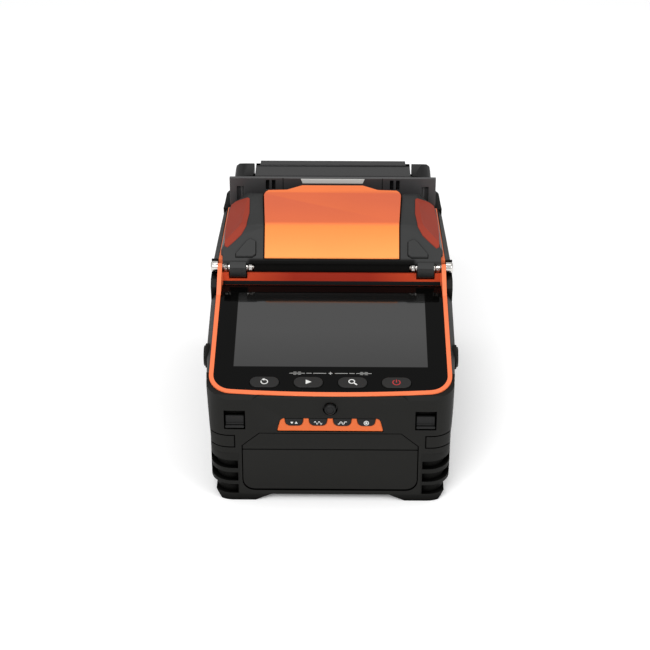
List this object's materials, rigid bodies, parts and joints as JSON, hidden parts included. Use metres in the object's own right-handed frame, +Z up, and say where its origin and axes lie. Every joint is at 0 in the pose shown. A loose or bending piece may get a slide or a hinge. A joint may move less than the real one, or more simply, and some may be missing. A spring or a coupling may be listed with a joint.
{
  "type": "fusion splicer",
  "caption": "Handheld optical fibre fusion splicer with a sloping touch screen, hinged wind cover over the splice chamber, rear sleeve heater and slide-out battery.",
  "frame": {"origin": "on the table, under the middle of the casing footprint", "axes": "+X to the right of the operator, +Y away from the operator, +Z up"},
  "size_m": [0.1442, 0.188, 0.1254],
  "materials": {
    "housing_plastic": "fine spark texture",
    "rubber_guard": "matte",
    "orange_plastic": "satin",
    "orange_plate": "satin metallic lacquer",
    "cover_grey": "satin",
    "insert_red": "satin",
    "black_plastic": "satin",
    "gloss_black": "glossy",
    "screen_glass": "dark printed glass",
    "lcd_grey": "dark display",
    "key_grey": "satin",
    "steel": "satin",
    "brass": "machined",
    "lamp_white": "diffusing",
    "foam": "soft",
    "ceramic": "ground",
    "dark_metal": "black anodised",
    "grey_metal": "anodised",
    "tungsten": "ground",
    "cell_foil": "foil",
    "board_green": "solder mask"
  },
  "bodies": {
    "casing": {"lower_housing": "housing_plastic", "upper_housing": "housing_plastic", "trim_frame": "orange_plastic", "front_left_bumper": "rubber_guard", "front_right_bumper": "rubber_guard", "rear_left_bumper": "rubber_guard", "rear_right_bumper": "rubber_guard", "strap_lugs": "housing_plastic", "housing_screws": "steel", "tripod_bush": "brass", "rear_bridge": "housing_plastic", "lamp_lens": "lamp_white", "control_strip": "orange_plastic", "port_adapter": "brass", "cover_glass": "screen_glass", "lcd_panel": "lcd_grey", "hinge_bolts": "steel", "hinge_springs": "steel", "splice_deck": "dark_metal", "vgroove_blocks": "ceramic", "electrodes": "tungsten", "electrode_clamps": "dark_metal", "feed_motors": "grey_metal", "objectives": "dark_metal", "heater_base": "housing_plastic", "heater_element": "grey_metal", "heater_pin": "steel", "fan_frame": "black_plastic", "circuit_boards": "board_green", "side_sockets": "steel"},
    "battery": {"battery_case": "housing_plastic", "battery_rear_cap": "black_plastic", "battery_cells": "cell_foil"},
    "port_cap_body": {"port_cap": "black_plastic"},
    "port_door_body": {"port_door": "housing_plastic"},
    "unit_key": {"unit_button": "black_plastic"},
    "wavelength_key": {"wavelength_button": "black_plastic"},
    "source_key": {"source_button": "black_plastic"},
    "laser_key": {"laser_button": "black_plastic"},
    "reset_key": {"reset_button": "key_grey"},
    "play_key": {"play_button": "key_grey"},
    "zoom_key": {"zoom_button": "key_grey"},
    "power_key": {"power_button": "key_grey"},
    "left_latch_body": {"left_latch": "black_plastic"},
    "right_latch_body": {"right_latch": "black_plastic"},
    "wind_cover": {"cover_shell": "cover_grey", "cover_plate": "orange_plate", "cover_inserts": "insert_red", "cover_seal": "foam", "fibre_pressers": "grey_metal"},
    "left_stage": {"left_feed_stage": "grey_metal"},
    "right_stage": {"right_feed_stage": "grey_metal"},
    "left_clamp": {"left_sheath_lid": "grey_metal"},
    "right_clamp": {"right_sheath_lid": "grey_metal"},
    "left_screw": {"left_feed_screw": "steel"},
    "right_screw": {"right_feed_screw": "steel"},
    "heater_lid_body": {"heater_lid": "gloss_black"},
    "left_heater_clamp_body": {"left_heater_clamp": "gloss_black"},
    "right_heater_clamp_body": {"right_heater_clamp": "gloss_black"},
    "fan_wheel": {"fan_rotor": "black_plastic"}
  },
  "joints": [
    {"name": "cover_open", "type": "hinge", "parent": "casing", "child": "wind_cover", "pos_m": [0, 0.0083, 0.0953], "axis": [1, 0, 0], "range_deg": [0, 90]},
    {"name": "left_clamp_open", "type": "hinge", "parent": "left_stage", "child": "left_clamp", "pos_m": [-0.0265, 0.043, 0.1036], "axis": [-1, 0, 0], "range_deg": [0, 80]},
    {"name": "right_clamp_open", "type": "hinge", "parent": "right_stage", "child": "right_clamp", "pos_m": [0.0265, 0.043, 0.1036], "axis": [-1, 0, 0], "range_deg": [0, 80]},
    {"name": "left_feed", "type": "slide", "parent": "casing", "child": "left_stage", "axis": [1, 0, 0], "range_m": [-0.001, 0.002]},
    {"name": "right_feed", "type": "slide", "parent": "casing", "child": "right_stage", "axis": [-1, 0, 0], "range_m": [-0.001, 0.002]},
    {"name": "left_screw_turn", "type": "hinge", "parent": "casing", "child": "left_screw", "pos_m": [-0.028, 0.03, 0.0941], "axis": [1, 0, 0], "range_deg": [-720, 1440]},
    {"name": "right_screw_turn", "type": "hinge", "parent": "casing", "child": "right_screw", "pos_m": [0.028, 0.03, 0.0941], "axis": [1, 0, 0], "range_deg": [-720, 1440]},
    {"name": "left_latch_slide", "type": "slide", "parent": "casing", "child": "left_latch_body", "axis": [0, 0, 1], "range_m": [0, 0.0036]},
    {"name": "right_latch_slide", "type": "slide", "parent": "casing", "child": "right_latch_body", "axis": [0, 0, 1], "range_m": [0, 0.0036]},
    {"name": "battery_draw", "type": "slide", "parent": "casing", "child": "battery", "axis": [0, -1, 0], "range_m": [0, 0.08]},
    {"name": "reset_press", "type": "slide", "parent": "casing", "child": "reset_key", "axis": [0, 0.1736, -0.9848], "range_m": [0, 0.0008], "stiffness_N_per_m": 600},
    {"name": "play_press", "type": "slide", "parent": "casing", "child": "play_key", "axis": [0, 0.1736, -0.9848], "range_m": [0, 0.0008], "stiffness_N_per_m": 600},
    {"name": "zoom_press", "type": "slide", "parent": "casing", "child": "zoom_key", "axis": [0, 0.1736, -0.9848], "range_m": [0, 0.0008], "stiffness_N_per_m": 600},
    {"name": "power_press", "type": "slide", "parent": "casing", "child": "power_key", "axis": [0, 0.1736, -0.9848], "range_m": [0, 0.0008], "stiffness_N_per_m": 600},
    {"name": "unit_press", "type": "slide", "parent": "casing", "child": "unit_key", "axis": [0, 1, 0], "range_m": [0, 0.0008], "stiffness_N_per_m": 600},
    {"name": "wavelength_press", "type": "slide", "parent": "casing", "child": "wavelength_key", "axis": [0, 1, 0], "range_m": [0, 0.0008], "stiffness_N_per_m": 600},
    {"name": "source_press", "type": "slide", "parent": "casing", "child": "source_key", "axis": [0, 1, 0], "range_m": [0, 0.0008], "stiffness_N_per_m": 600},
    {"name": "laser_press", "type": "slide", "parent": "casing", "child": "laser_key", "axis": [0, 1, 0], "range_m": [0, 0.0008], "stiffness_N_per_m": 600},
    {"name": "port_cap_pull", "type": "slide", "parent": "casing", "child": "port_cap_body", "axis": [0, -1, 0], "range_m": [0, 0.012]},
    {"name": "port_door_swing", "type": "hinge", "parent": "casing", "child": "port_door_body", "pos_m": [0.0679, -0.02, 0.0452], "axis": [0, 1, 0], "range_deg": [0, 90]},
    {"name": "heater_lid_open", "type": "hinge", "parent": "casing", "child": "heater_lid_body", "pos_m": [0, 0.0895, 0.1147], "axis": [-1, 0, 0], "range_deg": [0, 90]},
    {"name": "left_heater_clamp_open", "type": "hinge", "parent": "casing", "child": "left_heater_clamp_body", "pos_m": [-0.054, 0.0895, 0.1147], "axis": [-1, 0, 0], "range_deg": [0, 90]},
    {"name": "right_heater_clamp_open", "type": "hinge", "parent": "casing", "child": "right_heater_clamp_body", "pos_m": [0.054, 0.0895, 0.1147], "axis": [-1, 0, 0], "range_deg": [0, 90]},
    {"name": "fan_spin", "type": "hinge", "parent": "casing", "child": "fan_wheel", "pos_m": [0, 0.0792, 0.066], "axis": [0, 1, 0], "continuous": true}
  ],
  "couplings": [
    {"joint": "left_clamp_open", "follows": "cover_open", "ratio": 0.8},
    {"joint": "right_clamp_open", "follows": "cover_open", "ratio": 0.8},
    {"joint": "left_screw_turn", "follows": "left_feed", "rad_per_m": 12566},
    {"joint": "right_screw_turn", "follows": "right_feed", "rad_per_m": 12566}
  ]
}
